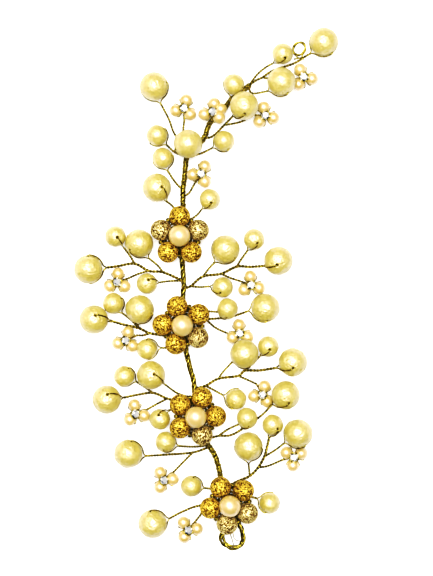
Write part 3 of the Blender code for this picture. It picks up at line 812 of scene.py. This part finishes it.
def cluster_pieces(body, label, cluster, shape, meshes):
    """The seed pearls of a cluster as one piece, its crystal and cup, and their short wires in shape."""
    number = label[1:]
    towards = unit(cluster.place - cluster.base)
    seeds = []
    for n, seed in enumerate(cluster.seeds):
        out = unit(seed - cluster.place)
        bore = np.cross(out, (0.0, 0.0, 1.0))
        seeds.append(put(f"seed_{number}_{n}", meshes["seed"], seed, bore))
        for side in (1, -1):
            route = [cluster.place - (0, 0, 0.7),
                     cluster.place + out * 1.0 + bore * side * 1.1 - (0, 0, 0.4),
                     seed + bore * side * (SEED_RADIUS + 0.2) - out * 0.5,
                     seed + bore * side * (SEED_RADIUS - 0.2), seed + bore * side * 0.6]
            shape.tube(smooth_route(route, 0.3), 0.16, 5)
    first = seeds[0]
    with bpy.context.temp_override(active_object=first, selected_editable_objects=seeds,
                                   selected_objects=seeds, object=first):
        bpy.ops.object.join()
    first.name = f"seed_pearls_{number}"
    tilt = unit(np.array((0.12, 0.1, 1.0)) - towards * 0.15)
    stone = put(f"crystal_{number}", meshes["crystal"], cluster.crystal, tilt, spin=float(int(number)))
    cup = put(f"crystal_cup_{number}", meshes["cup"], cluster.crystal, tilt)
    stem = smooth_route([cluster.base, cluster.place - (0, 0, 0.6), cluster.crystal - (0, 0, 1.2)], 0.25)
    for phase in (0.0, math.pi):
        shape.tube(helix(stem, STRAND, TWIG_PITCH, phase), STRAND)
    for piece, slot in ((first, "ivory_pearl"), (stone, "ivory_pearl"), (cup, "gold_wire")):
        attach(piece, body)


def spray_pieces(body, plan, finishes, meshes):
    """All the pearls, clusters and twigs of one body."""
    ends = {}
    for size in ("large", "medium"):
        for number, angles in plan[size].items():
            node = f"{size}_pearl_{number}"
            pearl = ends[f"{size}_{number}"] = Pearl(node, *angles)
            variant = int(number) % len(meshes[size])
            piece = put(f"{size}_wrinkled_pearl_{number}", meshes[size][variant], pearl.place, pearl.bore,
                        spin=0.9 * int(number))
            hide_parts(node)
            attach(piece, body)
    shape = Shape()
    for label, numbers in plan["clusters"].items():
        cluster = ends[label] = Cluster(*numbers)
        cluster_pieces(body, label, cluster, shape, meshes)
    for label, route in plan["twigs"]:
        end = ends[label]
        branches = sum(other[0] in route[1:] for _, other in plan["twigs"])
        strand_ends = [end.strand(1), end.strand(-1)] if isinstance(end, Pearl) else None
        twig_strands(shape, route, end.base, strand_ends, 1 + 0.09 * min(branches, 3))
    if body.startswith("flower"):
        number = body.split("_")[1]
        # Held from straight below, with its bore 18 degrees past the first bead.
        pearl = Pearl(f"centre_pearl_{number}", FIRST_PETAL[number], 90, 18 - 90, 0)
        piece = put(f"ivory_pearl_{number}", meshes["centre"], pearl.place, pearl.bore)
        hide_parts(f"centre_pearl_{number}")
        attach(piece, body)
        foot = np.array((pearl.place[0], pearl.place[1], STEM_HEIGHT))
        twig_strands(shape, [foot], pearl.base, [pearl.strand(1), pearl.strand(-1)], 1.3)
        flower_pieces(body, number, finishes, meshes["beads"])
    twigs = shape.object(body.replace("_spray", "_twigs"), finishes["wire"])
    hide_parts(body.replace("_spray", "_wire"))
    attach(twigs, body)


def stem_pieces(finishes):
    """The twisted stem: a rigid length on each body, and a length across each joint, which is on no body."""
    path = smooth_route([(x, y, STEM_HEIGHT) for x, y in STEM], 0.3)
    run = lengths_along(path)
    pitch = np.interp(run / run[-1], *zip(*STEM_PITCH))
    strands = [(helix(path, offset, pitch, math.radians(turn)), radius)
               for radius, offset, turn in STEM_STRANDS]
    wrap = helix(path, np.interp(run / run[-1], *zip(*WRAP_REACH)), WRAP_PITCH, 0.0)
    wrap[:, 2] = np.maximum(wrap[:, 2], WRAP_RADIUS + 0.01)
    strands.append((wrap, WRAP_RADIUS))
    cuts = [0]
    for x, y in BENDS:
        at = run[np.argmin(np.linalg.norm(path[:, :2] - (x, y), axis=1))]
        cuts += [int(np.argmin(abs(run - at + BEND_HALF))), int(np.argmin(abs(run - at - BEND_HALF)))]
    cuts.append(len(path) - 1)
    for n, (first, last) in enumerate(zip(cuts, cuts[1:])):
        shape = Shape()
        for strand, radius in strands:
            shape.tube(strand[first:last + 1], radius)
        low, high = n // 2, (n + 1) // 2
        if low == high:
            for start, end in BINDINGS:
                a, b = start * run[-1], end * run[-1]
                if a > run[first] and b < run[last]:
                    inside = path[(run >= a) & (run <= b)]
                    fine = smooth_route(inside, 0.12)
                    coil = helix(fine, BINDING_REACH, BINDING_PITCH, 0.0)
                    coil[:, 2] = np.maximum(coil[:, 2], BINDING_RADIUS + 0.01)
                    shape.tube(coil, BINDING_RADIUS, 6)
            piece = shape.object(f"stem_{low + 1}", finishes["wire"])
            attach(piece, STEM_BODIES[low])
        else:
            piece = shape.object(f"stem_bend_{low + 1}", finishes["wire"])
            start, end = ((path[k] - ORIGIN) * MM for k in (first, last))
            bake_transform(piece)


def pin_loop(finishes):
    """The stem's thick wires turned back on themselves in a rounded loop, with two stray ends inside."""
    low, high = (np.array(corner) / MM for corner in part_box("pin_loop"))
    middle = (high[0] + low[0]) / 2 + ORIGIN[0]
    centre = np.array((middle, low[1] + ORIGIN[1] + 4.9, 0.95))
    shape = Shape()
    around = ((145, 4.1), (172, 4.0), (200, 3.95), (230, 3.9), (262, 3.95), (295, 4.0), (325, 3.95),
              (352, 3.85), (20, 3.85), (48, 4.4))
    route = [centre + (-0.3, 7.2, 0.0), centre + (-2.2, 5.0, 0.0)]
    route += [centre + direction(turn) * reach for turn, reach in around]
    route += [centre + (1.6, 5.2, 0.0), centre + (0.6, 7.4, 0.0)]
    path = smooth_route(route, 0.3)
    wander = np.sin(lengths_along(path) * 0.55) * 0.06
    for k in range(5):
        strand = helix(path, 0.58 + wander * (k % 3 - 1), 9.0 + 2.0 * (k % 2), 2 * math.pi * k / 5)
        strand[:, 2] = np.clip(strand[:, 2], 0.38, 1.52)
        shape.tube(strand, 0.36 - 0.05 * (k % 3), 7)
    for reach, start in ((3.25, 95), (3.05, 125)):
        inner = [centre + direction(turn) * (reach + 0.1 * math.sin(turn)) + (0, 0, 0.25)
                 for turn in range(start, 275, 15)]
        inner = [centre + direction(start - 15) * 4.2] + inner + [centre + direction(290) * 3.9]
        shape.tube(smooth_route(inner, 0.3), 0.24, 6)
    stray = [centre + (-1.3, 3.4, 0.2), centre + (-0.9, 1.2, 0.3), centre + (-0.2, -0.8, 0.2),
             centre + (0.5, -3.3, 0.1)]
    shape.tube(smooth_route(stray, 0.3), 0.12, 6)
    other = [p + (1.1, -0.2, 0.1) for p in stray[:3]] + [centre + (2.9, -1.6, 0.0)]
    shape.tube(smooth_route(other, 0.3), 0.10, 6)
    piece = shape.object("pin_loop_wires", finishes["wire"])
    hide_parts("pin_loop")
    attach(piece, "flower_4_spray")


def tip_ring(finishes):
    """The small ring: two thin wires twisted round in a circle, and crossed at its neck."""
    centre, outer = place_of("tip_ring")
    shape = Shape()
    angles = np.radians(np.arange(0, 360, 4))
    long, short = direction(55), direction(145)
    path = np.array([centre + long * math.cos(a) * (outer - 0.5) + short * math.sin(a) * (outer - 0.85)
                     for a in angles])
    sides, ups = cross_frames(path, closed=True)
    for k in range(2):
        turn = (angles * 2 + math.pi * k)[:, None]
        shape.tube(path + (sides * np.cos(turn) + ups * np.sin(turn)) * 0.22, 0.27, 7, closed=True)
    for x in (-1.1, 1.3):
        tail = [centre + (x, -2.2, 0.0), centre + (x * 0.5, -3.1, -0.1), centre + (-x * 1.4, -3.7, 0.0)]
        shape.tube(smooth_route(tail, 0.3), 0.22, 6)
    piece = shape.object("tip_ring_wires", finishes["wire"])
    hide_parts("tip_ring")
    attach(piece, "tip_spray")


# ---------------------------------------------------------------- stage, light and camera


def stage():
    shape = bmesh.new()
    bmesh.ops.create_grid(shape, x_segments=2, y_segments=2, size=1.5)
    mesh = bpy.data.meshes.new("floor")
    shape.to_mesh(mesh)
    shape.free()
    mesh.materials.append(pale_floor())
    floor = bpy.data.objects.new("floor", mesh)
    floor.location.z = FLOOR_HEIGHT
    bpy.context.scene.collection.objects.link(floor)


def area_light(name, place, size, power, colour):
    """A square lamp that faces the middle of the vine."""
    data = bpy.data.lights.new(name, "AREA")
    data.size = size
    data.energy = power
    data.color = colour
    light = bpy.data.objects.new(name, data)
    light.location = place
    light.rotation_euler = (-Vector(place)).to_track_quat("-Z", "Y").to_euler()
    bpy.context.scene.collection.objects.link(light)


def lights():
    area_light("key", (-0.22, 0.42, 0.80), 0.45, 3.8, WHITE)
    area_light("overhead", (0.0, 0.08, 0.95), 0.52, 12.8, WHITE)
    area_light("left", (-0.65, 0.05, 0.40), 0.50, 0.9, WHITE)
    area_light("right", (0.65, -0.05, 0.45), 0.50, 0.7, (1.0, 0.96, 0.85))
    world = bpy.data.worlds.new("studio")
    bpy.context.scene.world = world
    world.use_nodes = True
    background = world.node_tree.nodes["Background"]
    background.inputs["Color"].default_value = (0.95, 0.97, 1.0, 1.0)
    background.inputs["Strength"].default_value = 0.12


def camera():
    """A long lens straight above, with the vine a little left of the picture's middle."""
    data = bpy.data.cameras.new("camera")
    data.sensor_fit = "VERTICAL"
    data.sensor_height = 36.0
    data.lens = 100.0
    data.clip_start, data.clip_end = 0.01, 10.0
    view = bpy.data.objects.new("camera", data)
    view.location = (0.00366, 0.0008, 0.565)
    bpy.context.scene.collection.objects.link(view)
    bpy.context.scene.camera = view


def tone():
    """Plain colours with a little more contrast in the shadows."""
    view = bpy.context.scene.view_settings
    view.view_transform = "Standard"
    view.use_curve_mapping = True
    curve = view.curve_mapping.curves[3]
    curve.points.new(0.16, 0.06)
    curve.points.new(0.45, 0.41)
    view.curve_mapping.update()


def main():
    finishes = {"pearl": wrinkled_pearl(), "ivory": ivory_pearl(), "wire": gold_wire(), "crystal": crystal(),
                "gold": stardust_gold("stardust_gold", (0.42, 0.265, 0.027), (0.86, 0.62, 0.14)),
                "pale_gold": stardust_gold("pale_stardust_gold", (0.38, 0.27, 0.09), (0.80, 0.67, 0.34))}
    camera()
    meshes = {
        "centre": pearl_mesh("centre_pearl", BEAD_RADIUS, finishes["ivory"], 28, 40, PEARL_BORE),
        "seed": pearl_mesh("seed_pearl", SEED_RADIUS, finishes["ivory"], 16, 22, SEED_BORE),
        "beads": [bead_mesh(f"gold_bead_{n}", finishes["gold"]) for n in range(BEAD_KINDS)],
        "crystal": crystal_mesh(finishes["crystal"]),
        "cup": cup_mesh(finishes["wire"]),
    }
    for size, (kinds, rings, segments, depth, seed, model) in PEARL_KINDS.items():
        radius = place_of(model)[1]
        meshes[size] = [pearl_mesh(f"{size}_pearl_{n}", radius, finishes["pearl"], rings, segments,
                                   PEARL_BORE, seed + n, depth) for n in range(kinds)]
    for body, plan in SPRAYS.items():
        spray_pieces(body, plan, finishes, meshes)
    stem_pieces(finishes)
    pin_loop(finishes)
    tip_ring(finishes)
    stage()
    lights()
    tone()


main()
